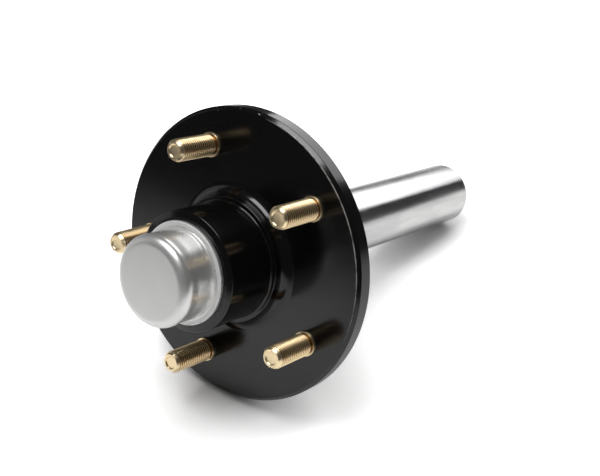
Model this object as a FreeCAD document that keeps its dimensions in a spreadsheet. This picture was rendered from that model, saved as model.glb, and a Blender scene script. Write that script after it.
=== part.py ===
import FreeCAD, Part
import math
import os
import re

import Sketcher

# Trailer stub axle with a five-stud hub that turns on two tapered roller bearings.
# The axle line is Y: the wheel side faces -Y, and the plain bar runs to +Y. The origin is on the
# axle line, in the flange face that the wheel is bolted against. Sizes are in millimetres and degrees.

SIZES = {
    # Hub: a disc flange with a barrel in front of it and a wider one behind
    "flange_dia": 158.8,
    "flange_thickness": 10.0,
    "flange_chamfer": 1.8,
    "flange_back_chamfer": 0.8,
    "barrel_dia": 62.6,
    "barrel_length": 39.0,
    "barrel_root_round": 1.0,
    "lip_face_dia": 56.4,
    "lip_depth": 1.0,
    "boss_dia": 67.8,
    "boss_height": 8.0,
    "boss_edge_round": 0.5,
    "boss_fillet": 6.5,
    "hub_length": 79.0,
    "rear_barrel_dia": 72.0,
    "rear_barrel_fillet": 4.0,
    "rear_barrel_chamfer": 1.4,
    "bore_chamfer": 0.8,
    "outer_seat": 27.0,
    "outer_shoulder_dia": 38.4,
    "inner_seat_depth": 23.0,
    "inner_shoulder_dia": 51.6,
    "cavity_start": 31.0,
    "cavity_full": 40.0,
    # Wheel studs
    "stud_circle_dia": 120.65,
    "stud_count": 5,
    "first_stud_angle": 44.5,
    "stud_dia": 12.0,
    "stud_projection": 28.1,
    "stud_tip_dia": 9.3,
    "stud_tip_taper": 1.9,
    "stud_cup_dia": 7.2,
    "stud_cup_depth": 0.6,
    "stud_cup_floor_dia": 6.2,
    "stud_neck_dia": 13.2,
    "stud_neck_above_face": 1.4,
    "stud_groove_dia": 10.2,
    "stud_groove_width": 1.1,
    "stud_head_dia": 19.0,
    "stud_head_thickness": 3.2,
    "stud_head_chamfer": 0.9,
    # Dust cap, drawn from sheet
    "cap_sheet": 1.2,
    "cap_skirt_depth": 8.0,
    "cap_bead_dia": 53.4,
    "cap_bead_thickness": 2.6,
    "cap_bead_round": 0.6,
    "cap_height": 24.2,
    "cap_root_dia": 47.8,
    "cap_root_flare": 2.6,
    "cap_wall_dia": 46.8,
    "cap_waist_dia": 46.1,
    "cap_waist_depth": 9.0,
    "cap_waist_round": 8.0,
    "cap_shoulder_dia": 47.0,
    "cap_shoulder_depth": 5.8,
    "cap_shoulder_round": 4.8,
    # Spindle, turned from one bar
    "bar_dia": 39.0,
    "bar_length": 187.0,
    "bar_end_chamfer": 1.2,
    "centre_hole_dia": 8.5,
    "centre_pilot_dia": 4.0,
    "centre_pilot_depth": 8.0,
    "centre_cone_angle": 60.0,
    "drill_point_angle": 118.0,
    "seal_journal_dia": 38.6,
    "seal_journal_margin": 2.0,
    "shoulder_chamfer": 0.6,
    "journal_clearance": 0.01,
    "journal_lead": 1.0,
    "journal_runout": 1.5,
    "waist_small_dia": 25.0,
    "waist_large_dia": 30.0,
    "waist_step": 3.0,
    "thread_dia": 18.0,
    "thread_chamfer": 1.5,
    "thread_beyond_nut": 2.5,
    "keyway_width": 4.5,
    "keyway_depth": 2.2,
    # Washer, castle nut and split pin
    "washer_dia": 31.0,
    "washer_thickness": 3.0,
    "thread_clearance": 0.05,
    "tab_clearance": 0.15,
    "nut_height": 14.0,
    "nut_flats": 27.0,
    "nut_castle_dia": 25.0,
    "nut_castle_height": 4.6,
    "nut_slot_width": 4.6,
    "nut_slots": 6,
    "nut_corner_chamfer": 1.6,
    "pin_dia": 3.8,
    "pin_wire_dia": 1.8,
    "pin_hole_clearance": 0.2,
    "pin_slot_clearance": 0.1,
    "pin_flat_gap": 0.7,
    "pin_leg": 5.0,
    "pin_eye_dia": 6.4,
    # Radial shaft seal
    "seal_width": 8.0,
    "seal_case_sheet": 1.0,
    "seal_plate_bore_dia": 47.0,
    "seal_lip_clearance": 0.05,
    "seal_lip_depth": 5.6,
    "seal_lip_height": 2.2,
    "seal_edge_share": 0.8,
    "spring_wire_dia": 1.3,
    # Outer bearing
    "outer_bore": 19.05,
    "outer_bearing_dia": 45.237,
    "outer_width": 15.494,
    "outer_cone_width": 16.637,
    "outer_cup_width": 12.065,
    "outer_pitch_dia": 31.8,
    "outer_axis_angle": 9.5,
    "outer_roller_count": 15,
    "outer_roller_dia": 5.9,
    "outer_roller_length": 9.7,
    "outer_roller_centre": 7.7,
    # Inner bearing
    "inner_bore": 31.75,
    "inner_bearing_dia": 59.131,
    "inner_width": 15.875,
    "inner_cone_width": 16.764,
    "inner_cup_width": 11.811,
    "inner_pitch_dia": 45.0,
    "inner_axis_angle": 13.7,
    "inner_roller_count": 18,
    "inner_roller_dia": 6.3,
    "inner_roller_length": 10.0,
    "inner_roller_centre": 8.0,
    # Both bearings
    "race_clearance": 0.03,
    "rib_gap": 0.05,
    "rib_height": 1.9,
    "small_rib_gap": 0.25,
    "small_rib_height": 0.7,
    "bearing_chamfer": 0.8,
    "cage_sheet": 0.9,
    "cage_offset": 1.5,
    "cage_ring": 1.5,
    "cage_lip_gap": 0.5,
    "pocket_gap": 0.15,
}

# Places along the axle are counted from the barrel's front end
WORKED = {
    "inner_seat": "hub_length - inner_seat_depth",
    "outer_face": "outer_seat - outer_width",
    "nut_face": "outer_face - washer_thickness - nut_height",
    "spindle_tip": "nut_face - thread_beyond_nut",
    "inner_face": "inner_seat + inner_width",
    "seal_start": "hub_length - seal_width",
    "seal_journal_end": "hub_length + seal_journal_margin",
    "bar_end": "inner_face + bar_length",
    "pin_place": "nut_castle_height - pin_dia / 2 - pin_slot_clearance",
    "pin_reach": "nut_flats / 2 + pin_flat_gap + pin_wire_dia / 2",
    "centre_cone_depth": "(centre_hole_dia - centre_pilot_dia) / 2 / tan(centre_cone_angle / 2)",
    "centre_point_depth": "centre_pilot_depth + centre_pilot_dia / 2 / tan(drill_point_angle / 2)",
}

# A roller's axis, its two races and the shaft's own axis all meet at one apex
BEARING = {
    "reach": "{0}_pitch_dia / 2 / sin({0}_axis_angle)",
    "taper": "{0}_roller_dia / 2 / {0}_reach",
    "apex": "{0}_roller_centre + {0}_reach * cos({0}_axis_angle)",
    "cup_slope": "(tan({0}_axis_angle) + {0}_taper) / (1 - tan({0}_axis_angle) * {0}_taper)",
}
for side in ("outer", "inner"):
    for word, formula in BEARING.items():
        WORKED[f"{side}_{word}"] = formula.format(side)

DOC = FreeCAD.newDocument("StubAxle")


def bind(text, home=None):
    """The expression with each name led by the sheet that holds it."""
    def lead(match):
        word = match.group(0)
        if word in SIZES:
            return "Sizes." + word
        if word in WORKED and home != "Worked":
            return "Worked." + word
        return word
    return re.sub(r"[a-z]\w*", lead, text)


def make_sheets():
    """The driving sizes as plain numbers, and what is worked out from them as formulas."""
    sizes = DOC.addObject("Spreadsheet::Sheet", "Sizes")
    for row, (name, size) in enumerate(SIZES.items(), 1):
        sizes.set(f"A{row}", name)
        sizes.set(f"B{row}", str(size))
        sizes.setAlias(f"B{row}", name)
    worked = DOC.addObject("Spreadsheet::Sheet", "Worked")
    for row, (name, formula) in enumerate(WORKED.items(), 1):
        worked.set(f"A{row}", name)
        worked.setAlias(f"B{row}", name)
        worked.set(f"B{row}", "=" + bind(formula, "Worked"))
    DOC.recompute()


def number(text):
    """What an expression comes to now."""
    return float(DOC.Worked.evalExpression(bind(text)))


def origin_part(body, role):
    return next(part for part in body.Origin.OriginFeatures if part.Role == role)


def new_sketch(body, plane, name):
    sketch = body.newObject("Sketcher::SketchObject", name)
    sketch.AttachmentSupport = [(origin_part(body, plane), "")]
    sketch.MapMode = "FlatFace"
    return sketch


def hold(sketch, corner, kind, text):
    """Ties one coordinate of a line's first end to an expression."""
    if text == "0":
        axis = {"DistanceX": -2, "DistanceY": -1}[kind]
        sketch.addConstraint(Sketcher.Constraint("PointOnObject", corner, 1, axis))
        return
    row = sketch.addConstraint(Sketcher.Constraint(kind, -1, 1, corner, 1, number(text)))
    sketch.setExpression(f"Constraints[{row}]", bind(text))


def outline(sketch, corners):
    """A closed outline through corners given as pairs of expressions."""
    places = [FreeCAD.Vector(number(across), number(along), 0) for across, along in corners]
    for start, end in zip(places, places[1:] + places[:1]):
        sketch.addGeometry(Part.LineSegment(start, end))
    for line in range(len(corners)):
        following = (line + 1) % len(corners)
        sketch.addConstraint(Sketcher.Constraint("Coincident", line, 2, following, 1))
    for corner, (across, along) in enumerate(corners):
        hold(sketch, corner, "DistanceX", across)
        hold(sketch, corner, "DistanceY", along)


def place(part, along):
    """Puts a sub-part's own start at a distance from the barrel's front end."""
    part.setExpression("Placement.Base.y", bind(f"{along} - barrel_length"))


def turned(name, start, corners):
    """A body turned about the axle line from corners of (radius, distance past its start)."""
    body = DOC.addObject("PartDesign::Body", name)
    sketch = new_sketch(body, "XY_Plane", name + "_section")
    outline(sketch, corners)
    revolution = body.newObject("PartDesign::Revolution", name + "_turned")
    revolution.Profile = sketch
    revolution.ReferenceAxis = (sketch, ["V_Axis"])
    revolution.Angle = 360
    place(body, start)
    DOC.recompute()
    return body


def circle_edge(shape, radius, along):
    """The name of the circular edge of that radius at that distance."""
    for index, edge in enumerate(shape.Edges, 1):
        curve = edge.Curve
        if isinstance(curve, Part.Circle) and abs(curve.Radius - radius) < 1e-3:
            if abs(curve.Center.y - along) < 1e-3:
                return f"Edge{index}"
    raise ValueError(f"no edge of radius {radius} at {along}")


def rounded(body, name, radius, circles):
    """Rounds the circular edges at the given (radius, distance) expressions."""
    base = body.Tip
    fillet = body.newObject("PartDesign::Fillet", name)
    fillet.Base = (base, [circle_edge(base.Shape, number(r), number(y)) for r, y in circles])
    fillet.setExpression("Radius", bind(radius))
    DOC.recompute()


def cut(body, sketch, name, length=None, both_ways=False):
    """Pockets the sketch, through everything unless a length is given."""
    before = body.Shape.Volume
    pocket = body.newObject("PartDesign::Pocket", name)
    pocket.Profile = sketch
    pocket.Midplane = both_ways
    if length:
        pocket.setExpression("Length", bind(length))
    else:
        pocket.Type = 1
    DOC.recompute()
    if body.Shape.Volume >= before - 1e-6:
        raise ValueError(f"{name} cuts nothing")
    return pocket


def repeat(body, feature, name, count):
    """Copies a feature round the axle line."""
    before = body.Shape.Volume
    pattern = body.newObject("PartDesign::PolarPattern", name)
    pattern.Originals = [feature]
    pattern.Axis = (origin_part(body, "Y_Axis"), [""])
    pattern.Angle = 360
    pattern.setExpression("Occurrences", bind(count))
    body.Tip = pattern
    DOC.recompute()
    if body.Shape.Volume >= before - 1e-6:
        raise ValueError(f"{name} repeats nothing")


def make_hub():
    """One casting, turned: flange, boss, front barrel with its lip, rear barrel and the bearing bores."""
    body = turned("hub", "0", [
        ("outer_bearing_dia / 2 + bore_chamfer", "0"),
        ("lip_face_dia / 2", "0"),
        ("barrel_dia / 2", "lip_depth"),
        ("barrel_dia / 2", "barrel_length - boss_height"),
        ("boss_dia / 2", "barrel_length - boss_height"),
        ("boss_dia / 2", "barrel_length"),
        ("flange_dia / 2 - flange_chamfer", "barrel_length"),
        ("flange_dia / 2", "barrel_length + flange_chamfer"),
        ("flange_dia / 2", "barrel_length + flange_thickness - flange_back_chamfer"),
        ("flange_dia / 2 - flange_back_chamfer", "barrel_length + flange_thickness"),
        ("rear_barrel_dia / 2", "barrel_length + flange_thickness"),
        ("rear_barrel_dia / 2", "hub_length - rear_barrel_chamfer"),
        ("rear_barrel_dia / 2 - rear_barrel_chamfer", "hub_length"),
        ("inner_bearing_dia / 2 + bore_chamfer", "hub_length"),
        ("inner_bearing_dia / 2", "hub_length - bore_chamfer"),
        ("inner_bearing_dia / 2", "inner_seat"),
        ("inner_shoulder_dia / 2", "inner_seat"),
        ("inner_shoulder_dia / 2", "cavity_full"),
        ("outer_shoulder_dia / 2", "cavity_start"),
        ("outer_shoulder_dia / 2", "outer_seat"),
        ("outer_bearing_dia / 2", "outer_seat"),
        ("outer_bearing_dia / 2", "bore_chamfer"),
    ])
    rounded(body, "boss_foot", "boss_fillet", [("boss_dia / 2", "barrel_length")])
    rounded(body, "boss_edge", "boss_edge_round", [("boss_dia / 2", "barrel_length - boss_height")])
    rounded(body, "barrel_root", "barrel_root_round", [("barrel_dia / 2", "barrel_length - boss_height")])
    rounded(body, "rear_root", "rear_barrel_fillet",
            [("rear_barrel_dia / 2", "barrel_length + flange_thickness")])
    sketch = new_sketch(body, "XZ_Plane", "stud_hole_place")
    middle = FreeCAD.Vector(number(STUD_X), number(STUD_Z), 0)
    sketch.addGeometry(Part.Circle(middle, FreeCAD.Vector(0, 0, 1), number("stud_neck_dia / 2")))
    for kind, text in (("DistanceX", STUD_X), ("DistanceY", STUD_Z)):
        row = sketch.addConstraint(Sketcher.Constraint(kind, -1, 1, 0, 3, number(text)))
        sketch.setExpression(f"Constraints[{row}]", bind(text))
    row = sketch.addConstraint(Sketcher.Constraint("Diameter", 0, number("stud_neck_dia")))
    sketch.setExpression(f"Constraints[{row}]", bind("stud_neck_dia"))
    hole = cut(body, sketch, "stud_hole", both_ways=True)
    repeat(body, hole, "stud_holes", "stud_count")


STUD_X = "stud_circle_dia / 2 * cos(first_stud_angle)"
STUD_Z = "stud_circle_dia / 2 * sin(first_stud_angle)"


def make_stud(index):
    """A pressed-in wheel stud: cupped tip, threaded shank, relief groove, neck and thin round head."""
    neck = "stud_projection - stud_neck_above_face"
    head = "stud_projection + flange_thickness"
    body = turned(f"wheel_stud_{index + 1}", "barrel_length - stud_projection", [
        ("0", "stud_cup_depth"),
        ("stud_cup_floor_dia / 2", "stud_cup_depth"),
        ("stud_cup_dia / 2", "0"),
        ("stud_tip_dia / 2", "0"),
        ("stud_dia / 2", "stud_tip_taper"),
        ("stud_dia / 2", f"{neck} - stud_groove_width"),
        ("stud_groove_dia / 2", f"{neck} - stud_groove_width"),
        ("stud_groove_dia / 2", neck),
        ("stud_neck_dia / 2", neck),
        ("stud_neck_dia / 2", head),
        ("stud_head_dia / 2", head),
        ("stud_head_dia / 2", f"{head} + stud_head_thickness - stud_head_chamfer"),
        ("stud_head_dia / 2 - stud_head_chamfer", f"{head} + stud_head_thickness"),
        ("0", f"{head} + stud_head_thickness"),
    ])
    angle = f"first_stud_angle + {index} * 360 / stud_count"
    body.setExpression("Placement.Base.x", bind(f"stud_circle_dia / 2 * cos({angle})"))
    body.setExpression("Placement.Base.z", bind(f"stud_circle_dia / 2 * sin({angle})"))


def make_dust_cap():
    """One drawn sheet: pressed-in skirt, folded bead, flared wall, waist and shoulder."""
    bead = "cap_height - cap_bead_thickness"
    body = turned("dust_cap", "-cap_height", [
        ("0", "0"),
        ("cap_shoulder_dia / 2", "0"),
        ("cap_shoulder_dia / 2", "cap_shoulder_depth"),
        ("cap_waist_dia / 2", "cap_waist_depth"),
        ("cap_wall_dia / 2", f"{bead} - cap_root_flare"),
        ("cap_root_dia / 2", bead),
        ("cap_bead_dia / 2", bead),
        ("cap_bead_dia / 2", "cap_height"),
        ("outer_bearing_dia / 2", "cap_height"),
        ("outer_bearing_dia / 2", "cap_height + cap_skirt_depth"),
        ("outer_bearing_dia / 2 - cap_sheet", "cap_height + cap_skirt_depth"),
        ("cap_waist_dia / 2 - cap_sheet", f"{bead} - cap_root_flare"),
        ("cap_waist_dia / 2 - cap_sheet", "cap_sheet"),
        ("0", "cap_sheet"),
    ])
    rounded(body, "cap_shoulder", "cap_shoulder_round", [("cap_shoulder_dia / 2", "0")])
    rounded(body, "cap_waist", "cap_waist_round", [
        ("cap_shoulder_dia / 2", "cap_shoulder_depth"),
        ("cap_waist_dia / 2", "cap_waist_depth"),
        ("cap_wall_dia / 2", f"{bead} - cap_root_flare"),
    ])
    rounded(body, "cap_inside", "cap_shoulder_round - cap_sheet",
            [("cap_waist_dia / 2 - cap_sheet", "cap_sheet")])
    rounded(body, "cap_bead", "cap_bead_round",
            [("cap_bead_dia / 2", bead), ("cap_bead_dia / 2", "cap_height")])


def make_stub_shaft():
    """The spindle and its bar, turned in one piece between centres, with a keyway and a cross hole."""
    def past(text):
        return f"{text} - spindle_tip"

    body = turned("stub_shaft", "spindle_tip", [
        ("0", "0"),
        ("thread_dia / 2 - thread_chamfer", "0"),
        ("thread_dia / 2", "thread_chamfer"),
        ("thread_dia / 2", past("outer_face + journal_lead")),
        ("outer_bore / 2 - journal_clearance", past("outer_face + journal_lead")),
        ("outer_bore / 2 - journal_clearance", past("outer_face + outer_cone_width + journal_runout")),
        ("waist_small_dia / 2", past("outer_face + outer_cone_width + journal_runout + waist_step")),
        ("waist_large_dia / 2", past("inner_face - inner_cone_width - journal_runout - journal_lead")),
        ("inner_bore / 2 - journal_clearance", past("inner_face - inner_cone_width - journal_runout")),
        ("inner_bore / 2 - journal_clearance", past("inner_face")),
        ("seal_journal_dia / 2 - shoulder_chamfer", past("inner_face")),
        ("seal_journal_dia / 2", past("inner_face + shoulder_chamfer")),
        ("seal_journal_dia / 2", past("seal_journal_end")),
        ("bar_dia / 2", past("seal_journal_end + shoulder_chamfer")),
        ("bar_dia / 2", past("bar_end - bar_end_chamfer")),
        ("bar_dia / 2 - bar_end_chamfer", past("bar_end")),
        ("centre_hole_dia / 2", past("bar_end")),
        ("centre_pilot_dia / 2", past("bar_end - centre_cone_depth")),
        ("centre_pilot_dia / 2", past("bar_end - centre_pilot_depth")),
        ("0", past("bar_end - centre_point_depth")),
    ])
    keyway = new_sketch(body, "XZ_Plane", "keyway_section")
    floor = "thread_dia / 2 - keyway_depth"
    outline(keyway, [
        ("-keyway_width / 2", floor),
        ("keyway_width / 2", floor),
        ("keyway_width / 2", "thread_dia / 2 + keyway_depth"),
        ("-keyway_width / 2", "thread_dia / 2 + keyway_depth"),
    ])
    cut(body, keyway, "keyway", length=past("outer_face"))
    hole = new_sketch(body, "YZ_Plane", "pin_hole_place")
    middle = FreeCAD.Vector(number("thread_beyond_nut + pin_place"), 0, 0)
    hole.addGeometry(Part.Circle(middle, FreeCAD.Vector(0, 0, 1), number("pin_dia / 2")))
    hole.addConstraint(Sketcher.Constraint("PointOnObject", 0, 3, -1))
    row = hole.addConstraint(Sketcher.Constraint("DistanceX", -1, 1, 0, 3, middle.x))
    hole.setExpression(f"Constraints[{row}]", bind("thread_beyond_nut + pin_place"))
    row = hole.addConstraint(Sketcher.Constraint("Diameter", 0, number("pin_dia")))
    hole.setExpression(f"Constraints[{row}]", bind("pin_dia + 2 * pin_hole_clearance"))
    cut(body, hole, "pin_hole", both_ways=True)


def make_spindle_washer():
    """A thick washer whose tab runs in the keyway, so that the turning cone can't unscrew the nut."""
    body = turned("spindle_washer", "outer_face - washer_thickness", [
        ("thread_dia / 2 + thread_clearance", "0"),
        ("washer_dia / 2", "0"),
        ("washer_dia / 2", "washer_thickness"),
        ("thread_dia / 2 + thread_clearance", "washer_thickness"),
    ])
    tab = new_sketch(body, "XZ_Plane", "tab_section")
    outline(tab, [
        ("-keyway_width / 2 + tab_clearance", "thread_dia / 2 - keyway_depth + tab_clearance"),
        ("keyway_width / 2 - tab_clearance", "thread_dia / 2 - keyway_depth + tab_clearance"),
        ("keyway_width / 2 - tab_clearance", "(thread_dia + washer_dia) / 4"),
        ("-keyway_width / 2 + tab_clearance", "(thread_dia + washer_dia) / 4"),
    ])
    before = body.Shape.Volume
    pad = body.newObject("PartDesign::Pad", "tab")
    pad.Profile = tab
    pad.setExpression("Length", bind("washer_thickness"))
    pad.Reversed = True
    DOC.recompute()
    if body.Shape.Volume <= before + 1e-6:
        raise ValueError("the tab adds nothing")


def make_castle_nut():
    """A slotted hexagon nut with a round castle, and its corners chamfered on the washer side."""
    corner = "nut_flats / 2 / cos(180 / nut_slots)"
    bore = "thread_dia / 2 + thread_clearance"
    body = turned("castle_nut", "nut_face", [
        (bore, "0"),
        ("nut_castle_dia / 2", "0"),
        ("nut_castle_dia / 2", "nut_castle_height"),
        (corner, "nut_castle_height"),
        (corner, "nut_height - nut_corner_chamfer"),
        (f"{corner} - nut_corner_chamfer", "nut_height"),
        (bore, "nut_height"),
    ])
    flat = new_sketch(body, "XZ_Plane", "flat_section")
    outline(flat, [
        ("nut_flats / 2", "-nut_flats"),
        ("nut_flats", "-nut_flats"),
        ("nut_flats", "nut_flats"),
        ("nut_flats / 2", "nut_flats"),
    ])
    repeat(body, cut(body, flat, "flat", both_ways=True), "flats", "nut_slots")
    slot = new_sketch(body, "XZ_Plane", "slot_section")
    outline(slot, [
        ("0", "-nut_slot_width / 2"),
        ("nut_flats", "-nut_slot_width / 2"),
        ("nut_flats", "nut_slot_width / 2"),
        ("0", "nut_slot_width / 2"),
    ])
    repeat(body, cut(body, slot, "slot", length="nut_castle_height"), "slots", "nut_slots")


def make_split_pin():
    """A split pin through slot and spindle: an eye on one side, and two legs bent apart on the other."""
    shank = number("pin_dia / 2")
    wire = number("pin_wire_dia / 2")
    reach = number("pin_reach")
    leg = number("pin_leg")
    eye = number("pin_eye_dia / 2")
    bend_start = reach - shank
    axle_place = number("nut_face + pin_place - barrel_length")
    sideways = FreeCAD.Vector(1, 0, 0)
    pieces = [Part.makeCylinder(shank, reach + bend_start, FreeCAD.Vector(-reach, 0, 0), sideways)]
    for way in (-1, 1):
        line = way * shank / 2
        diagonal = shank * math.sin(math.pi / 4)
        start = FreeCAD.Vector(0, line, 0)
        bend = FreeCAD.Vector(bend_start, line, 0)
        inside = FreeCAD.Vector(bend_start + diagonal, line + way * (shank - diagonal), 0)
        rise = FreeCAD.Vector(reach, line + way * shank, 0)
        tip = FreeCAD.Vector(reach, line + way * (shank + leg), 0)
        path = Part.Wire([
            Part.LineSegment(start, bend).toShape(),
            Part.Arc(bend, inside, rise).toShape(),
            Part.LineSegment(rise, tip).toShape(),
        ])
        section = Part.Wire(Part.Circle(start, sideways, wire).toShape())
        pieces.append(path.makePipeShell([section], True, False))
    eye_middle = FreeCAD.Vector(wire - reach - eye, 0, 0)
    pieces.append(Part.makeTorus(eye - wire, wire, eye_middle, FreeCAD.Vector(0, 0, 1)))
    pin = DOC.addObject("Part::Feature", "split_pin")
    pin.Shape = pieces[0].fuse(pieces[1:]).removeSplitter()
    pin.Placement = FreeCAD.Placement(FreeCAD.Vector(0, axle_place, 0), FreeCAD.Rotation())


def make_seal():
    """A pressed steel case, the rubber lip bonded into it, and the spring that closes the lip."""
    turned("grease_seal_case", "seal_start", [
        ("inner_bearing_dia / 2 - seal_case_sheet", "0"),
        ("inner_bearing_dia / 2", "0"),
        ("inner_bearing_dia / 2", "seal_width"),
        ("seal_plate_bore_dia / 2", "seal_width"),
        ("seal_plate_bore_dia / 2", "seal_width - seal_case_sheet"),
        ("inner_bearing_dia / 2 - seal_case_sheet", "seal_width - seal_case_sheet"),
    ])
    journal = "seal_journal_dia / 2"
    waist = "seal_width - seal_lip_depth / 2"
    turned("grease_seal_lip", "seal_start", [
        ("seal_plate_bore_dia / 2", "seal_width"),
        (f"{journal} + seal_lip_height", "seal_width"),
        (f"{journal} + seal_lip_height / 2", waist),
        (f"{journal} + seal_lip_clearance", "seal_width - seal_lip_depth * seal_edge_share"),
        (f"{journal} + seal_lip_height / 2", "seal_width - seal_lip_depth"),
        (f"{journal} + seal_lip_height", "seal_width - seal_lip_depth"),
        (f"{journal} + seal_lip_height", waist),
        ("seal_plate_bore_dia / 2", "seal_width - seal_case_sheet"),
    ])
    spring = DOC.addObject("Part::Torus", "garter_spring")
    spring.setExpression("Radius1", bind(f"{journal} + seal_lip_height + spring_wire_dia / 2"))
    spring.setExpression("Radius2", bind("spring_wire_dia / 2"))
    spring.Placement = FreeCAD.Placement(FreeCAD.Vector(), FreeCAD.Rotation(FreeCAD.Vector(1, 0, 0), -90))
    place(spring, "seal_start + seal_width - seal_lip_depth * seal_edge_share")


def beside_roller(side, ahead, out):
    """A point (radius, distance past the cone's back face) ahead of a roller's middle and off its axis."""
    angle = f"{side}_axis_angle"
    return (
        f"{side}_pitch_dia / 2 - ({ahead}) * sin({angle}) + ({out}) * cos({angle})",
        f"{side}_roller_centre + ({ahead}) * cos({angle}) + ({out}) * sin({angle})",
    )


def roller_radius(side, ahead):
    """The taper's radius at a distance ahead of a roller's middle, as the races hold it."""
    return f"({side}_roller_dia / 2 - ({ahead}) * {side}_taper)"


def make_cone(side, start):
    """The inner race, with a high rib behind the rollers and a low one before them."""
    back = f"-{side}_roller_length / 2 - rib_gap"
    front = f"{side}_roller_length / 2 + small_rib_gap"
    rib = beside_roller(side, back, f"rib_height - {roller_radius(side, back)}")
    small_rib = beside_roller(side, front, f"small_rib_height - {roller_radius(side, front)}")
    return turned(f"{side}_bearing_cone", start, [
        (f"{side}_bore / 2", "bearing_chamfer"),
        (f"{side}_bore / 2 + bearing_chamfer", "0"),
        (rib[0], "0"),
        rib,
        beside_roller(side, back, f"-{roller_radius(side, back)}"),
        beside_roller(side, front, f"-{roller_radius(side, front)}"),
        small_rib,
        (small_rib[0], f"{side}_cone_width"),
        (f"{side}_bore / 2", f"{side}_cone_width"),
    ])


def make_cup(side, start):
    """The outer race, pressed into the hub against its shoulder."""
    front = f"{side}_width - {side}_cup_width"
    return turned(f"{side}_bearing_cup", start, [
        (f"({side}_apex - ({front})) * {side}_cup_slope", front),
        (f"{side}_bearing_dia / 2", front),
        (f"{side}_bearing_dia / 2", f"{side}_width - bearing_chamfer"),
        (f"{side}_bearing_dia / 2 - bearing_chamfer", f"{side}_width"),
        (f"({side}_apex - {side}_width) * {side}_cup_slope", f"{side}_width"),
    ])


def make_cage(side, start):
    """A pressed cage with one window for each roller, and a lip turned in before the rollers."""
    back = f"-{side}_roller_length / 2 - cage_ring"
    front = f"{side}_roller_length / 2 + cage_ring"
    outside = "cage_offset + cage_sheet"
    low = f"small_rib_height + cage_lip_gap - {roller_radius(side, front)}"
    body = turned(f"{side}_bearing_cage", start, [
        beside_roller(side, back, "cage_offset"),
        beside_roller(side, back, outside),
        beside_roller(side, front, outside),
        beside_roller(side, front, low),
        beside_roller(side, f"{front} - cage_sheet", low),
        beside_roller(side, f"{front} - cage_sheet", "cage_offset"),
    ])
    window = new_sketch(body, "XY_Plane", f"{side}_window_outline")
    ends = (f"-{side}_roller_length / 2 - pocket_gap", f"{side}_roller_length / 2 + pocket_gap")
    near = beside_roller(side, ends[0], "cage_offset")[1]
    far = beside_roller(side, ends[1], outside)[1]
    wide, narrow = [f"sqrt({roller_radius(side, end)} ^ 2 - cage_offset ^ 2) + pocket_gap" for end in ends]
    outline(window, [(f"-({wide})", near), (wide, near), (narrow, far), (f"-({narrow})", far)])
    pocket = body.newObject("PartDesign::Pocket", f"{side}_window")
    pocket.Profile = window
    pocket.Type = 1
    pocket.Reversed = True
    DOC.recompute()
    repeat(body, pocket, f"{side}_windows", f"{side}_roller_count")


def make_rollers(side, start, way):
    """Tapered rollers round the cone, their axes leaning in towards the bearing's apex."""
    lean = math.radians(number(f"{side}_axis_angle"))
    along = number(f"{start} + {way} * {side}_roller_centre - barrel_length")
    count = SIZES[f"{side}_roller_count"]
    half = number(f"{side}_roller_length / 2")
    for index in range(count):
        turn = math.pi / 2 + 2 * math.pi * index / count
        outward = FreeCAD.Vector(math.cos(turn), 0, math.sin(turn))
        ahead = FreeCAD.Vector(0, way * math.cos(lean), 0) - outward * math.sin(lean)
        middle = outward * number(f"{side}_pitch_dia / 2") + FreeCAD.Vector(0, along, 0)
        roller = DOC.addObject("Part::Cone", f"{side}_roller_{index + 1:02d}")
        for name, sign in (("Radius1", "-"), ("Radius2", "")):
            radius = roller_radius(side, f"{sign}{side}_roller_length / 2")
            roller.setExpression(name, bind(f"{radius} - race_clearance"))
        roller.setExpression("Height", bind(f"{side}_roller_length"))
        turned_ahead = FreeCAD.Rotation(FreeCAD.Vector(0, 0, 1), ahead)
        roller.Placement = FreeCAD.Placement(middle - ahead * half, turned_ahead)


def make_bearing(side, start, way):
    """Cone, cup, cage and rollers; a bearing whose apex lies towards -Y is turned about."""
    for make in (make_cone, make_cup, make_cage):
        make(side, start)
    if way < 0:
        for name in ("cone", "cup", "cage"):
            body = DOC.getObject(f"{side}_bearing_{name}")
            body.Placement.Rotation = FreeCAD.Rotation(FreeCAD.Vector(0, 0, 1), 180)
    make_rollers(side, start, way)


def sub_parts():
    """Every sub-part, the objects that stand by themselves in the document."""
    kinds = ("PartDesign::Body", "Part::Feature", "Part::Torus", "Part::Cone")
    return [part for part in DOC.Objects if part.TypeId in kinds]


def check():
    """Stops on anything that failed to compute, and on a sub-part that isn't one valid solid."""
    for part in DOC.Objects:
        if "Invalid" in part.State or "Error" in part.State:
            raise ValueError(f"{part.Name} failed: {part.State}")
    for part in sub_parts():
        if part.Shape.isNull() or not part.Shape.isValid() or len(part.Shape.Solids) != 1:
            raise ValueError(f"{part.Label} isn't one valid solid")


def write():
    os.makedirs("parts", exist_ok=True)
    for part in sub_parts():
        part.Shape.exportStep(f"parts/{part.Label}.step")


make_sheets()
make_hub()
for stud in range(SIZES["stud_count"]):
    make_stud(stud)
make_dust_cap()
make_stub_shaft()
make_spindle_washer()
make_castle_nut()
make_split_pin()
make_seal()
make_bearing("outer", "outer_face", 1)
make_bearing("inner", "inner_face", -1)
DOC.recompute()
check()
write()
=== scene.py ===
import math

import bmesh
import bpy
from mathutils import Matrix, Vector


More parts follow.
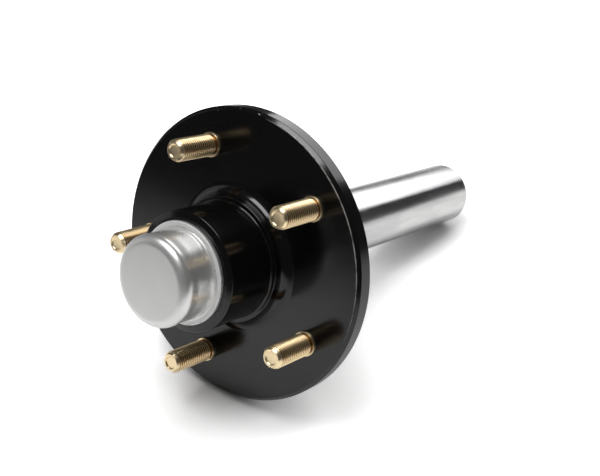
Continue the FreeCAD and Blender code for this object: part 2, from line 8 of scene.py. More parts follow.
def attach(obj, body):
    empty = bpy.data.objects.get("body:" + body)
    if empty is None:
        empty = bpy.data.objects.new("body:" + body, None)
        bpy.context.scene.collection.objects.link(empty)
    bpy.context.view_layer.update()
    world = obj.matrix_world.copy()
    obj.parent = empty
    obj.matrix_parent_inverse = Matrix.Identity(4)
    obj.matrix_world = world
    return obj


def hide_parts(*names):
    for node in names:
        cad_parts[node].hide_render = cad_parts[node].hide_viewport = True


# Looks for the stub axle. The frame is the CAD's, in metres, with the axle line along Y and the
# wheel side towards -Y. Radii and places along Y are written in millimetres.

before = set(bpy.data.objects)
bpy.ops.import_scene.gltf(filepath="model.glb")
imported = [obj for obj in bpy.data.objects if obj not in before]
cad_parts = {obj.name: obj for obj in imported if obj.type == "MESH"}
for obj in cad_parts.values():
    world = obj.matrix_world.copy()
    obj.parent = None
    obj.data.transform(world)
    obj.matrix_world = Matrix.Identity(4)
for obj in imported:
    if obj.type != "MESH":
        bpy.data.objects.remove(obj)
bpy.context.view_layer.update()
scene = bpy.context.scene
MM = 0.001

# Ground: the object lies on its flange rim and the far end of its bar, so it leans in this frame
GROUND_UP = Vector((0.0, -0.27489, 0.96147))
GROUND_HEIGHT = -78.87 * MM
FLOOR_REACH = 4.0

# Hub: places along Y, radii and the main roundings
BARREL_FRONT = -39
BARREL_RADIUS = 31.3
LIP_RADIUS = 28.2
LIP_DEPTH = 1
BOSS_FRONT = -8
BOSS_RADIUS = 33.9
BOSS_FILLET = 6.5
FLANGE_RADIUS = 79.4
FLANGE_CHAMFER = 1.8
FLANGE_BACK = 10
FLANGE_BACK_CHAMFER = 0.8
REAR_RADIUS = 36
REAR_END = 40
REAR_FILLET = 4
REAR_CHAMFER = 1.4
OUTER_SEAT_RADIUS = 22.6185
OUTER_SEAT_END = -12
OUTER_SHOULDER_RADIUS = 19.2
INNER_SEAT_RADIUS = 29.5655
INNER_SEAT_START = 17
INNER_SHOULDER_RADIUS = 25.8
CAVITY_START = -8
CAVITY_FULL = 1
BORE_CHAMFER = 0.8

# Dust cap, drawn from sheet
CAP_SHEET = 1.2
CAP_END = -63.2
CAP_RADIUS = 23.5
CAP_SHOULDER = -57.4
CAP_WAIST = -53.8
CAP_WAIST_RADIUS = 23.15
CAP_ROOT = -44.2
CAP_ROOT_RADIUS = 23.4
CAP_FLARE_RADIUS = 23.9
CAP_BORE_RADIUS = 21.85
CAP_SKIRT_END = -31
BEAD_RADIUS = 26.7
BEAD_FRONT = -41.6
BEAD_ROUND = 0.6

# Spindle and bar
SPINDLE_TIP = -46.994
SPINDLE_THREAD_RADIUS = 9
SPINDLE_THREAD_CHAMFER = 1.5
OUTER_JOURNAL_RADIUS = 9.515
OUTER_JOURNAL_START = -26.494
OUTER_JOURNAL_END = -9.357
WAIST_STEP = 3
WAIST_SMALL_RADIUS = 12.5
WAIST_LARGE_RADIUS = 15
INNER_JOURNAL_RADIUS = 15.865
INNER_JOURNAL_START = 13.611
INNER_JOURNAL_LEAD = 1
SHOULDER = 32.875
SHOULDER_CHAMFER = 0.6
SEAL_JOURNAL_RADIUS = 19.3
SEAL_JOURNAL_END = 42
BAR_START = 42.6
BAR_RADIUS = 19.5
BAR_END = 219.875
BAR_CHAMFER = 1.2
CENTRE_HOLE_RADIUS = 4.25
CENTRE_PILOT_RADIUS = 2
CENTRE_CONE_BOTTOM = 215.978
CENTRE_PILOT_DEPTH = 8
CENTRE_PILOT_TIP = 210.673
KEYWAY_HALF_WIDTH = 2.25
KEYWAY_START = -50
KEYWAY_END = -27.494
KEYWAY_FLOOR = 6.8
KEYWAY_CLEAR = 12
PIN_HOLE = -41.894
PIN_HOLE_RADIUS = 2.1
PIN_BORE_REACH = 30

# Wheel studs: M12 x 1.5, with a relief groove in front of the neck
STUD_COUNT = 5
STUD_CIRCLE_RADIUS = 60.325
FIRST_STUD_ANGLE = 44.5
PITCH = 1.5
CREST = 5.98
ROOT = 5.1
THREAD_START = -28.1
THREAD_END = -2.5
GROOVE_END = -1.3
TIP_RADIUS = 4.65
TIP_TAPER = 1.9
CUP_RADIUS = 3.6
CUP_FLOOR_RADIUS = 3.1
CUP_FLOOR = -27.5
NECK_FRONT = -1.4
NECK_RADIUS = 6.6
HOLE_OVERCUT = 5
HEAD_RADIUS = 9.5
HEAD_END = 13.2
HEAD_CHAMFER = 0.9

# Mesh fineness
ARC_STEP = math.radians(11)
WELD = 0.0001 * MM
TURNED_POINTS = 256
SHAFT_POINTS = 192
CUTTER_POINTS = 64
STUD_POINTS = 80
RINGS_PER_TURN = 12


# Meshes

def softened(corners, closed):
    """The outline's (radius, y) points, with an arc for each corner that names a rounding third."""
    count = len(corners)
    points = []
    for index, corner in enumerate(corners):
        here = Vector(corner[:2])
        rounding = corner[2] if len(corner) > 2 else 0
        if not rounding or (not closed and index in (0, count - 1)):
            points.append(here)
            continue
        before = (Vector(corners[index - 1][:2]) - here).normalized()
        after = (Vector(corners[(index + 1) % count][:2]) - here).normalized()
        half = before.angle(after) / 2
        setback = rounding / math.tan(half)
        centre = here + (before + after).normalized() * rounding / math.sin(half)
        start = here + before * setback - centre
        end = here + after * setback - centre
        steps = max(2, math.ceil(start.angle(end) / ARC_STEP))
        for step in range(steps + 1):
            points.append(centre + start.slerp(end, step / steps).normalized() * rounding)
    return [(point.x, point.y) for point in points]


def finish_mesh(mesh, sharp=32):
    """Outward normals and smooth shading, but sharp where faces meet at more than that angle."""
    made = bmesh.new()
    made.from_mesh(mesh)
    bmesh.ops.remove_doubles(made, verts=made.verts, dist=WELD)
    bmesh.ops.recalc_face_normals(made, faces=made.faces)
    made.to_mesh(mesh)
    made.free()
    mesh.shade_smooth()
    mesh.set_sharp_from_angle(angle=math.radians(sharp))


def new_piece(name, mesh, body, slot, *nodes):
    """A piece that rides on a body and stands for those CAD nodes; the slot is not used."""
    piece = bpy.data.objects.new(name, mesh)
    scene.collection.objects.link(piece)
    weigh = piece.modifiers.new("even_shading", "WEIGHTED_NORMAL")
    weigh.keep_sharp = True
    weigh.weight = 90
    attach(piece, body)
    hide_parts(*nodes)
    return piece


def skin(name, rings, closed):
    """A surface through rings of equal numbers of points; a ring of one point closes an end."""
    verts = []
    starts = []
    for points in rings:
        starts.append(len(verts))
        verts.extend(points)
    faces = []
    pairs = list(zip(range(len(rings)), range(1, len(rings))))
    if closed:
        pairs.append((len(rings) - 1, 0))
    for one, other in pairs:
        wide = max(len(rings[one]), len(rings[other]))
        for step in range(wide):
            following = (step + 1) % wide
            a, b = starts[one], starts[other]
            if len(rings[one]) == 1:
                faces.append((a, b + following, b + step))
            elif len(rings[other]) == 1:
                faces.append((a + step, a + following, b))
            else:
                faces.append((a + step, a + following, b + following, b + step))
    mesh = bpy.data.meshes.new(name)
    mesh.from_pydata(verts, [], faces)
    return mesh


def ring(radius, along, count, centre=(0, 0)):
    """Points round the axle line or a line beside it; the radius may be a function of the angle."""
    if radius == 0:
        return [(centre[0] * MM, along * MM, centre[1] * MM)]
    points = []
    for step in range(count):
        angle = 2 * math.pi * step / count
        here = radius(angle) if callable(radius) else radius
        x = centre[0] + here * math.cos(angle)
        z = centre[1] + here * math.sin(angle)
        points.append((x * MM, along * MM, z * MM))
    return points


def turned(name, corners, closed=True, count=TURNED_POINTS):
    """An outline turned round the axle line."""
    rings = [ring(radius, along, count) for radius, along in softened(corners, closed)]
    return skin(name, rings, closed)


def round_cutter(radius, start, end, centre=(0, 0)):
    """A plain round bar along Y, to cut with."""
    corners = [(0, start), (radius, start), (radius, end), (0, end)]
    rings = [ring(wide, along, CUTTER_POINTS, centre) for wide, along in corners]
    mesh = skin("cutter", rings, False)
    finish_mesh(mesh)
    return mesh


def box_cutter(low, high):
    """A box between two corners, to cut with."""
    made = bmesh.new()
    bmesh.ops.create_cube(made, size=1)
    for vert in made.verts:
        corner = [low[i] if vert.co[i] < 0 else high[i] for i in range(3)]
        vert.co = Vector(corner) * MM
    mesh = bpy.data.meshes.new("cutter")
    made.to_mesh(mesh)
    made.free()
    return mesh


def cut(mesh, cutters):
    """The mesh with each cutter's shape taken out of it."""
    work = bpy.data.objects.new("work", mesh)
    scene.collection.objects.link(work)
    tools = []
    for cutter in cutters:
        tool = bpy.data.objects.new("tool", cutter)
        scene.collection.objects.link(tool)
        taken = work.modifiers.new("cut", "BOOLEAN")
        taken.object = tool
        taken.operation = "DIFFERENCE"
        taken.solver = "EXACT"
        tools.append(tool)
    bpy.context.view_layer.update()
    evaluated = work.evaluated_get(bpy.context.evaluated_depsgraph_get())
    result = bpy.data.meshes.new_from_object(evaluated)
    for spare in [work, *tools]:
        bpy.data.objects.remove(spare)
    return result


# Hub: front barrel with its bevelled lip, boss, flange, rear barrel and the bearing bores

stud_places = []
for index in range(STUD_COUNT):
    angle = math.radians(FIRST_STUD_ANGLE + index * 360 / STUD_COUNT)
    stud_places.append((STUD_CIRCLE_RADIUS * math.cos(angle), STUD_CIRCLE_RADIUS * math.sin(angle)))

HUB = [
    (OUTER_SEAT_RADIUS + BORE_CHAMFER, BARREL_FRONT),
    (LIP_RADIUS, BARREL_FRONT, 0.35),
    (BARREL_RADIUS, BARREL_FRONT + LIP_DEPTH, 0.5),
    (BARREL_RADIUS, BOSS_FRONT, 1.0),
    (BOSS_RADIUS, BOSS_FRONT, 0.5),
    (BOSS_RADIUS, 0, BOSS_FILLET),
    (FLANGE_RADIUS - FLANGE_CHAMFER, 0, 0.5),
    (FLANGE_RADIUS, FLANGE_CHAMFER, 0.6),
    (FLANGE_RADIUS, FLANGE_BACK - FLANGE_BACK_CHAMFER, 0.3),
    (FLANGE_RADIUS - FLANGE_BACK_CHAMFER, FLANGE_BACK, 0.3),
    (REAR_RADIUS, FLANGE_BACK, REAR_FILLET),
    (REAR_RADIUS, REAR_END - REAR_CHAMFER, 0.4),
    (REAR_RADIUS - REAR_CHAMFER, REAR_END, 0.4),
    (INNER_SEAT_RADIUS + BORE_CHAMFER, REAR_END),
    (INNER_SEAT_RADIUS, REAR_END - BORE_CHAMFER),
    (INNER_SEAT_RADIUS, INNER_SEAT_START),
    (INNER_SHOULDER_RADIUS, INNER_SEAT_START),
    (INNER_SHOULDER_RADIUS, CAVITY_FULL),
    (OUTER_SHOULDER_RADIUS, CAVITY_START),
    (OUTER_SHOULDER_RADIUS, OUTER_SEAT_END),
    (OUTER_SEAT_RADIUS, OUTER_SEAT_END),
    (OUTER_SEAT_RADIUS, BARREL_FRONT + BORE_CHAMFER),
]
hub_mesh = turned("hub_turned", HUB)
finish_mesh(hub_mesh)
stud_holes = [
    round_cutter(NECK_RADIUS, -HOLE_OVERCUT, FLANGE_BACK + HOLE_OVERCUT, place)
    for place in stud_places
]
hub_mesh = cut(hub_mesh, stud_holes)
finish_mesh(hub_mesh)
hub = new_piece("hub_body", hub_mesh, "hub", "black_paint", "hub")

# Dust cap: one drawn sheet, with the soft corners that drawing leaves
CAP = [
    (0, CAP_END),
    (CAP_RADIUS, CAP_END, 4.8),
    (CAP_RADIUS, CAP_SHOULDER, 16),
    (CAP_WAIST_RADIUS, CAP_WAIST, 30),
    (CAP_ROOT_RADIUS, CAP_ROOT, 8),
    (CAP_FLARE_RADIUS, BEAD_FRONT),
    (BEAD_RADIUS, BEAD_FRONT, BEAD_ROUND),
    (BEAD_RADIUS, BARREL_FRONT, BEAD_ROUND),
    (OUTER_SEAT_RADIUS, BARREL_FRONT),
    (OUTER_SEAT_RADIUS, CAP_SKIRT_END),
    (OUTER_SEAT_RADIUS - CAP_SHEET, CAP_SKIRT_END),
    (CAP_BORE_RADIUS, CAP_ROOT),
    (CAP_BORE_RADIUS, CAP_END + CAP_SHEET, 3.6),
    (0, CAP_END + CAP_SHEET),
]
cap_mesh = turned("dust_cap_drawn", CAP, closed=False)
finish_mesh(cap_mesh, sharp=50)
cap = new_piece("dust_cap_body", cap_mesh, "hub", "bright_zinc", "dust_cap")

# Spindle and bar, with the keyway and the split pin's hole at the threaded end
SHAFT = [
    (0, SPINDLE_TIP),
    (SPINDLE_THREAD_RADIUS - SPINDLE_THREAD_CHAMFER, SPINDLE_TIP),
    (SPINDLE_THREAD_RADIUS, SPINDLE_TIP + SPINDLE_THREAD_CHAMFER),
    (SPINDLE_THREAD_RADIUS, OUTER_JOURNAL_START),
    (OUTER_JOURNAL_RADIUS, OUTER_JOURNAL_START),
    (OUTER_JOURNAL_RADIUS, OUTER_JOURNAL_END),
    (WAIST_SMALL_RADIUS, OUTER_JOURNAL_END + WAIST_STEP),
    (WAIST_LARGE_RADIUS, INNER_JOURNAL_START - INNER_JOURNAL_LEAD),
    (INNER_JOURNAL_RADIUS, INNER_JOURNAL_START),
    (INNER_JOURNAL_RADIUS, SHOULDER),
    (SEAL_JOURNAL_RADIUS - SHOULDER_CHAMFER, SHOULDER),
    (SEAL_JOURNAL_RADIUS, SHOULDER + SHOULDER_CHAMFER),
    (SEAL_JOURNAL_RADIUS, SEAL_JOURNAL_END),
    (BAR_RADIUS, BAR_START),
    (BAR_RADIUS, BAR_END - BAR_CHAMFER, 0.4),
    (BAR_RADIUS - BAR_CHAMFER, BAR_END, 0.3),
    (CENTRE_HOLE_RADIUS, BAR_END),
    (CENTRE_PILOT_RADIUS, CENTRE_CONE_BOTTOM),
    (CENTRE_PILOT_RADIUS, BAR_END - CENTRE_PILOT_DEPTH),
    (0, CENTRE_PILOT_TIP),
]
shaft_mesh = turned("stub_shaft_turned", SHAFT, closed=False, count=SHAFT_POINTS)
finish_mesh(shaft_mesh)
keyway = box_cutter((-KEYWAY_HALF_WIDTH, KEYWAY_START, KEYWAY_FLOOR),
                    (KEYWAY_HALF_WIDTH, KEYWAY_END, KEYWAY_CLEAR))
pin_bore = round_cutter(PIN_HOLE_RADIUS, -PIN_BORE_REACH, PIN_BORE_REACH)
pin_bore.transform(Matrix.Translation((0, PIN_HOLE * MM, 0)) @ Matrix.Rotation(math.pi / 2, 4, "Z"))
shaft_mesh = cut(shaft_mesh, [keyway, pin_bore])
finish_mesh(shaft_mesh)
shaft = new_piece("stub_shaft_body", shaft_mesh, "spindle", "turned_steel", "stub_shaft")


# Wheel studs: a rolled thread that runs out into the tip's taper and the relief groove

def thread_radius(along, angle):
    """The rolled thread, with crests and roots that are both round, cut down by the tip's cone."""
    phase = (along / PITCH + angle / (2 * math.pi)) % 1
    rise = 0.5 + 0.5 * math.cos(2 * math.pi * phase)
    cone = TIP_RADIUS + (CREST - TIP_RADIUS) * (along - THREAD_START) / TIP_TAPER
    return min(ROOT + (CREST - ROOT) * rise, cone)


def stud_mesh(name, centre, turn):
    """One stud from its cupped tip to the thin head behind the flange."""
    front = softened([
        (0, CUP_FLOOR),
        (CUP_FLOOR_RADIUS, CUP_FLOOR, 0.5),
        (CUP_RADIUS, THREAD_START, 0.2),
        (TIP_RADIUS, THREAD_START),
    ], False)
    back = softened([
        (ROOT, THREAD_END),
        (ROOT, NECK_FRONT, 0.2),
        (NECK_RADIUS, NECK_FRONT, 0.25),
        (NECK_RADIUS, FLANGE_BACK),
        (HEAD_RADIUS, FLANGE_BACK),
        (HEAD_RADIUS, HEAD_END - HEAD_CHAMFER, 0.3),
        (HEAD_RADIUS - HEAD_CHAMFER, HEAD_END, 0.3),
        (0, HEAD_END),
    ], False)
    rings = [ring(radius, along, STUD_POINTS, centre) for radius, along in front]
    steps = round((THREAD_END - THREAD_START) / PITCH * RINGS_PER_TURN)
    for step in range(1, steps):
        along = THREAD_START + (THREAD_END - THREAD_START) * step / steps
        rings.append(ring(lambda angle: thread_radius(along, angle + turn),
                          along, STUD_POINTS, centre))
    rings += [ring(radius, along, STUD_POINTS, centre) for radius, along in back]
    mesh = skin(name, rings, False)
    finish_mesh(mesh, sharp=40)
    # how deep each point lies in the thread or the relief groove, for the painted shade down in it
    depth = mesh.attributes.new("thread_depth", "FLOAT", "POINT")
    for vertex in mesh.vertices:
        x, along, z = vertex.co / MM
        threaded = THREAD_START + TIP_TAPER < along < GROOVE_END
        sunk = (CREST - math.hypot(x - centre[0], z - centre[1])) / (CREST - ROOT)
        depth.data[vertex.index].value = sunk if threaded else 0
    return mesh


# radians from one stud's thread start to the next one's, as studs are pressed in at any angle
THREAD_TURN = 2.1
studs = []
for index, place in enumerate(stud_places):
    name = f"wheel_stud_{index + 1}"
    mesh = stud_mesh(f"{name}_threaded", place, THREAD_TURN * index)
    studs.append(new_piece(f"{name}_body", mesh, "hub", "yellow_zinc", name))


# Node trees

NOISE_LOW = 0.3
NOISE_HIGH = 0.7


class Tree:
    """A node tree, with short calls for the nodes that are used here."""

    def __init__(self, tree):
        self.tree = tree

    def node(self, kind, **inputs):
        """A new node, with its inputs set or linked by name, or by number as i0, i1 and so on."""
        made = self.tree.nodes.new("ShaderNode" + kind)
        self.feed(made, **inputs)
        return made

    def feed(self, node, **inputs):
        """Links each input to a socket, or sets it to a value."""
        for name, value in inputs.items():
            numbered = name[0] == "i" and name[1:].isdigit()
            socket = node.inputs[int(name[1:]) if numbered else name]
            if isinstance(value, bpy.types.NodeSocket):
                self.tree.links.new(value, socket)
            else:
                socket.default_value = value

    def math(self, operation, one, other=0.0, clamp=False):
        made = self.node("Math", i0=one, i1=other)
        made.operation = operation
        made.use_clamp = clamp
        return made.outputs[0]

    def product(self, first, *others):
        for other in others:
            first = self.math("MULTIPLY", first, other)
        return first

    def band(self, value, low, high, at_low=0.0, at_high=1.0):
        """A value carried from one range into another, held at the ends."""
        return self.node("MapRange", i0=value, i1=low, i2=high, i3=at_low, i4=at_high).outputs[0]

    def mixed(self, share, one, other):
        """One shader passing into another."""
        return self.node("MixShader", i0=share, i1=one, i2=other).outputs[0]


class Finish(Tree):
    """A material with a principled shader, in the object's own coordinates."""

    def __init__(self, name):
        self.material = bpy.data.materials.new(name)
        self.material.use_nodes = True
        super().__init__(self.material.node_tree)
        self.shader = self.tree.nodes["Principled BSDF"]
        self.place = self.node("TexCoord").outputs["Object"]

    def put(self, name, source):
        """Sets or links an input of the shader."""
        self.feed(self.shader, **{name: source})

    def split(self):
        """The place's x, y and z, in metres."""
        return self.node("SeparateXYZ", i0=self.place).outputs

    def radius(self):
        """Distance from the axle line, in metres."""
        x, _, z = self.split()
        return self.math("SQRT", self.math("ADD", self.product(x, x), self.product(z, z)))

    def reach(self, metres, low, high, at_low=0.0, at_high=1.0):
        """A band between two places in millimetres."""
        return self.band(metres, low * MM, high * MM, at_low, at_high)

    def scaled(self, x, y, z):
        """The object's coordinates, stretched."""
        return self.node("Mapping", Vector=self.place, Scale=(x, y, z)).outputs[0]

    def noise(self, scale, detail=3.0, rough=0.5, place=None):
        made = self.node("TexNoise", Vector=place or self.place, Scale=scale, Detail=detail,
                         Roughness=rough)
        return made.outputs["Fac"]

    def drift(self, noise, low, high):
        """A noise carried into a range, from the values where most of it lies."""
        return self.band(noise, NOISE_LOW, NOISE_HIGH, low, high)

    def blend(self, share, one, other):
        made = self.node("Mix")
        made.data_type = "RGBA"
        self.feed(made, i0=share, i6=one, i7=other)
        return made.outputs[2]

    def bump(self, height, strength, depth):
        made = self.node("Bump", Height=height, Strength=strength, Distance=depth)
        self.put("Normal", made.outputs[0])


def colour(red, green, blue):
    return (red, green, blue, 1.0)


def grey(level):
    return colour(level, level, level)


# Materials

def black_paint():
    """Gloss black stoving paint, with nicks through to steel on the flange's front edge, and a thin
    light line down its +X side that is partly wear and partly painted highlight.
    """
    m = Finish("black_paint_gloss")
    m.put("IOR", 1.5)
    m.put("Roughness", m.drift(m.noise(18, 4.0), 0.12, 0.18))
    x, y, z = m.split()
    radius = m.radius()
    corner = FLANGE_RADIUS - FLANGE_CHAMFER
    face = m.reach(y, 3.2, 2.4)
    edge = m.product(m.reach(radius, corner - 0.7, corner - 0.1), face)
    arc = m.product(m.reach(z, 70, 74), m.reach(x, 20, 10))
    nicks = m.band(m.noise(420, 3.0, 0.6), 0.64, 0.67)
    spots = m.product(edge, arc, nicks)
    # the line is painted highlight as well as wear, light on the side of the edge that the light falls
    # on: it runs from the top down the +X side, and breaks up on the way
    inner = m.reach(radius, corner - 0.35, corner - 0.25)
    outer = m.reach(radius, corner + 0.25, corner + 0.15)
    line = m.product(inner, outer)
    side = m.product(m.reach(x, 5, 20), m.reach(z, -20, 30, 0.0, 0.9))
    broken = m.band(m.noise(300, 3.0, 0.6), 0.40, 0.48, 0.35, 1.0)
    rubbed_and_highlit_line = m.product(m.product(line, side), m.product(broken, face))
    wear_and_highlight = m.math("ADD", spots, rubbed_and_highlit_line, clamp=True)
    # grey where the paint has chipped, and grey as painted highlight along the line
    m.put("Base Color", m.blend(wear_and_highlight, grey(0.004), colour(0.42, 0.40, 0.38)))
    m.bump(m.noise(70, 2.0), 0.10, 0.4 * MM)
    return m.material


def bright_zinc():
    """Satin bright zinc on drawn sheet: near white, with the faint grain of the plating."""
    m = Finish("bright_zinc_satin")
    m.put("Base Color", m.blend(m.noise(60, 4.0), colour(0.82, 0.82, 0.81), colour(0.89, 0.89, 0.88)))
    # the folded bead's face has no polish left: matte, near white
    _, y, _ = m.split()
    front = m.product(m.reach(y, BEAD_FRONT - 0.5, BEAD_FRONT - 0.1),
                      m.reach(y, BEAD_FRONT + 0.6, BEAD_FRONT + 0.3))
    flare = m.reach(m.radius(), CAP_FLARE_RADIUS + 0.3, CAP_FLARE_RADIUS + 0.7)
    bead = m.product(front, flare)
    # drawing has ironed the wall smoother than the end
    wall = m.drift(m.noise(140, 5.0), 0.27, 0.30)
    end = m.reach(y, CAP_END + 3.2, CAP_END + 0.2, 0.0, 0.15)
    satin = m.math("ADD", wall, end)
    m.put("Roughness", m.math("ADD", satin, m.product(bead, 0.3)))
    # the satin plating scatters part of the light as a matte surface does
    m.put("Metallic", m.band(bead, 0.0, 1.0, 0.78, 0.25))
    m.bump(m.noise(500, 2.0), 0.02, 0.1 * MM)
    return m.material


def yellow_zinc():
    """Yellow passivated zinc: pale gold, with a faint drift in tone, and dark brown painted down in the
    thread as painted shade.
    """
    m = Finish("yellow_zinc_passivated")
    m.put("Metallic", 1.0)
    drift = m.noise(110, 3.0)
    gold = m.blend(drift, colour(1.0, 0.80, 0.49), colour(0.97, 0.79, 0.51))
    depth = m.node("Attribute")
    depth.attribute_name = "thread_depth"
    sunk = m.band(depth.outputs["Fac"], 0.15, 0.6)
    # painted shade: the thread's roots and the relief groove go dark brown by their depth
    m.put("Base Color", m.blend(sunk, gold, colour(0.36, 0.20, 0.065)))
    m.put("Roughness", m.drift(drift, 0.28, 0.33))
    return m.material


def turned_steel():
    """A turned and polished bar: fine rings round the axle line, and faint smudges along it."""
    m = Finish("turned_steel_bar")
    m.put("Metallic", 1.0)
    m.put("Anisotropic", 0.6)
    m.put("Anisotropic Rotation", 0.25)
    tangent = m.node("Tangent")
    tangent.direction_type = "RADIAL"
    tangent.axis = "Y"
    m.put("Tangent", tangent.outputs[0])
    rings = m.noise(1.0, 3.0, 0.7, m.scaled(6, 2600, 6))
    smudge = m.noise(1.0, 4.0, 0.55, m.scaled(70, 16, 70))
    streak = m.noise(1.0, 5.0, 0.6, m.scaled(110, 9, 110))
    worked = m.product(m.band(smudge, 0.35, 0.6), m.band(streak, 0.35, 0.55))
    m.put("Base Color", m.blend(worked, colour(0.54, 0.54, 0.55), colour(0.75, 0.75, 0.74)))
    touched = m.band(smudge, 0.4, 0.7, 0.0, 0.05)
    m.put("Roughness", m.math("ADD", m.drift(rings, 0.15, 0.20), touched))
    m.bump(rings, 0.10, 0.05 * MM)
    return m.material


def plain_metal(name, tone, rough, grain, depth):
    """A machined or ground part inside: its own tone, fine grain and a slight drift in roughness."""
    m = Finish(name)
    m.put("Metallic", 1.0)
    drift = m.noise(90, 3.0)
    dark = colour(*(0.86 * channel for channel in tone))
    m.put("Base Color", m.blend(drift, dark, colour(*tone)))
    m.put("Roughness", m.drift(drift, rough, rough + 0.08))
    turned_grain = m.noise(1.0, 2.0, 0.5, m.scaled(grain / 8, grain, grain / 8))
    m.bump(turned_grain, 0.2, depth * MM)
    return m.material


def seal_rubber():
    """Moulded nitrile rubber, nearly black and matte."""
    m = Finish("seal_rubber_nitrile")
    m.put("IOR", 1.5)
    m.put("Base Color", m.blend(m.noise(300), grey(0.012), grey(0.022)))
    m.put("Roughness", m.drift(m.noise(200), 0.45, 0.6))
    m.bump(m.noise(2500, 2.0), 0.2, 0.05 * MM)
    return m.material


finishes = {
    "black_paint": black_paint(),
    "bright_zinc": bright_zinc(),
    "yellow_zinc": yellow_zinc(),
    "turned_steel": turned_steel(),
    "plain_zinc": plain_metal("plain_zinc_dull", (0.56, 0.57, 0.60), 0.34, 900, 0.04),
    "cage_steel": plain_metal("cage_steel_pressed", (0.42, 0.41, 0.40), 0.36, 500, 0.04),
    "bearing_steel": plain_metal("bearing_steel_ground", (0.60, 0.61, 0.63), 0.12, 2400, 0.02),
    "seal_case_steel": plain_metal("seal_case_steel_coated", (0.30, 0.30, 0.31), 0.38, 600, 0.04),
    "seal_rubber": seal_rubber(),
    "spring_steel": plain_metal("spring_steel_drawn", (0.50, 0.50, 0.50), 0.25, 1500, 0.03),
}

# What isn't named here and lies inside is a bearing's cup, cone or roller
INSIDE = {
    "spindle_washer": "plain_zinc",
    "castle_nut": "plain_zinc",
    "split_pin": "plain_zinc",
    "grease_seal_case": "seal_case_steel",
    "grease_seal_lip": "seal_rubber",
    "garter_spring": "spring_steel",
    "outer_bearing_cage": "cage_steel",
    "inner_bearing_cage": "cage_steel",
}


def dress(piece, slot):
    """Gives all of a piece one of the finishes."""
    if not piece.data.materials:
        piece.data.materials.append(finishes[slot])
    for row in piece.material_slots:
        row.material = finishes[slot]


dress(hub, "black_paint")
dress(cap, "bright_zinc")
dress(shaft, "turned_steel")
for stud in studs:
    dress(stud, "yellow_zinc")
for name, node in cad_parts.items():
    dress(node, INSIDE.get(name, "bearing_steel"))


# Floor: white ground that keeps the shadow

ACROSS = Vector((1, 0, 0))
AHEAD = GROUND_UP.cross(ACROSS).normalized()
GROUND = Matrix((ACROSS, AHEAD, GROUND_UP)).transposed().to_4x4()
GROUND.translation = GROUND_UP * GROUND_HEIGHT

FLOOR_TONE = 0.93
# how much white the floor adds to what it reflects, for the camera and for all other rays
FLOOR_LIFT = 0.92
FLOOR_GLOW = 0.3
# the lift goes out near the object, which paints shade and shadow onto the ground: sharply where it
# touches down, and gently around it
CONTACT_REACH = 0.022
CONTACT_SAMPLES = 16
CONTACT_POWER = 1.6
SHADE_REACH = 0.16
SHADE_SAMPLES = 8
# metres from the frame's centre between which mirrors see the table fade into the dark room
TABLE_FULL = 0.40
TABLE_END = 0.85
ROOM_DARK = 0.05


def open_share(t, distance, samples):
    """How much of the sky above a point is open, as far as that distance."""
    made = t.node("AmbientOcclusion", Distance=distance)
    made.samples = samples
    return made.outputs["AO"]


def floor_material():
    """White ground to the camera. Mirrors see it fade into the dark room past the table's edge."""
    material = bpy.data.materials.new("floor_white")
    material.use_nodes = True
    t = Tree(material.node_tree)
    t.tree.nodes.clear()
    to_camera = t.node("LightPath").outputs["Is Camera Ray"]
    level = t.band(to_camera, 0.0, 1.0, FLOOR_GLOW, FLOOR_LIFT)
    contact = t.math("POWER", open_share(t, CONTACT_REACH, CONTACT_SAMPLES), CONTACT_POWER)
    shade = open_share(t, SHADE_REACH, SHADE_SAMPLES)
    # painted shadow: the glow is dimmed where the sky above the ground is closed off
    lift = t.product(level, t.product(contact, shade))
    glow = t.node("Emission", Color=grey(1.0), Strength=lift).outputs[0]
    matte = t.node("BsdfDiffuse", Color=grey(FLOOR_TONE)).outputs[0]
    lit = t.node("AddShader", i0=matte, i1=glow).outputs[0]
    # far from the object the ground is plain white to the camera, and dark in reflections
    length = t.node("VectorMath", i0=t.node("TexCoord").outputs["Object"])
    length.operation = "LENGTH"
    far = t.band(length.outputs["Value"], TABLE_FULL, TABLE_END)
    beyond = t.node("Emission", Strength=t.band(to_camera, 0.0, 1.0, ROOM_DARK, 1.0)).outputs[0]
    ground = t.mixed(far, lit, beyond)
    # seen from below, the ground lets the camera through
    below = t.node("NewGeometry").outputs["Backfacing"]
    clear = t.node("BsdfTransparent").outputs[0]
    t.node("OutputMaterial", Surface=t.mixed(below, ground, clear))
    return material


floor_mesh = bpy.data.meshes.new("floor")
floor_corners = [(x * FLOOR_REACH, y * FLOOR_REACH, 0) for x, y in ((-1, -1), (1, -1), (1, 1), (-1, 1))]
floor_mesh.from_pydata(floor_corners, [], [(0, 1, 2, 3)])
floor_mesh.materials.append(floor_material())
floor = bpy.data.objects.new("floor", floor_mesh)
floor.matrix_world = GROUND
scene.collection.objects.link(floor)


# Room and lights

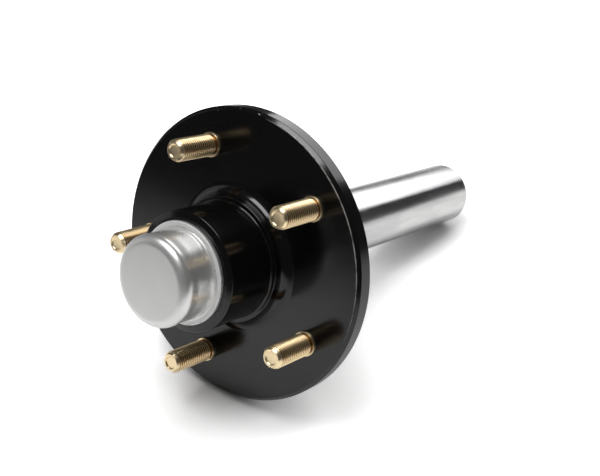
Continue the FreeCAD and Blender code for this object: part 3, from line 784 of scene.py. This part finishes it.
def room():
    """White to the camera, and a dark room for everything else."""
    world = bpy.data.worlds.new("room")
    world.use_nodes = True
    t = Tree(world.node_tree)
    t.tree.nodes.clear()
    to_camera = t.node("LightPath").outputs["Is Camera Ray"]
    dark = t.node("Background", Color=grey(ROOM_DARK)).outputs[0]
    white = t.node("Background", Color=grey(1.0)).outputs[0]
    t.node("OutputWorld", Surface=t.mixed(to_camera, dark, white))
    return world


def soft_box(name, place, aim, width, height, radiance):
    """An area light, placed and aimed in the ground's frame, in metres; radiance is its face's."""
    light = bpy.data.lights.new(name, "AREA")
    light.shape = "RECTANGLE"
    light.size = width
    light.size_y = height
    light.energy = radiance * math.pi * width * height
    holder = bpy.data.objects.new(name, light)
    scene.collection.objects.link(holder)
    at = GROUND @ Vector(place)
    turn = (GROUND @ Vector(aim) - at).to_track_quat("-Z", "Y")
    holder.matrix_world = Matrix.Translation(at) @ turn.to_matrix().to_4x4()
    holder.visible_camera = False


scene.world = room()
soft_box("overhead", place=(-0.08, -0.2, 1.15), aim=(-0.08, -0.2, 0),
         width=0.7, height=0.5, radiance=7.5)
soft_box("backdrop", place=(-0.3, 1.6, 1.12), aim=(-0.3, 0, 1.12),
         width=1.5, height=1.56, radiance=2.3)
soft_box("side_card", place=(-1.15, -0.35, 0.3), aim=(0, 0, 0.12),
         width=0.8, height=0.6, radiance=0.5)

# Camera: where the photograph was taken from, and its directions to the right, up and ahead
CAMERA_PLACE = Vector((0.3122, -0.40284, 0.20827))
CAMERA_RIGHT = Vector((0.77936, 0.60422, 0.1659))
CAMERA_UP = Vector((-0.34123, 0.18722, 0.92114))
CAMERA_LOOK = Vector((-0.52551, 0.77451, -0.35209))
SENSOR_WIDTH = 36
LENS = 62.388
camera_data = bpy.data.cameras.new("camera")
camera_data.sensor_width = SENSOR_WIDTH
camera_data.lens = LENS
camera = bpy.data.objects.new("camera", camera_data)
camera_turn = Matrix((CAMERA_RIGHT, CAMERA_UP, -CAMERA_LOOK)).transposed().to_4x4()
camera.matrix_world = Matrix.Translation(CAMERA_PLACE) @ camera_turn
scene.collection.objects.link(camera)
scene.camera = camera
scene.view_settings.view_transform = "Standard"
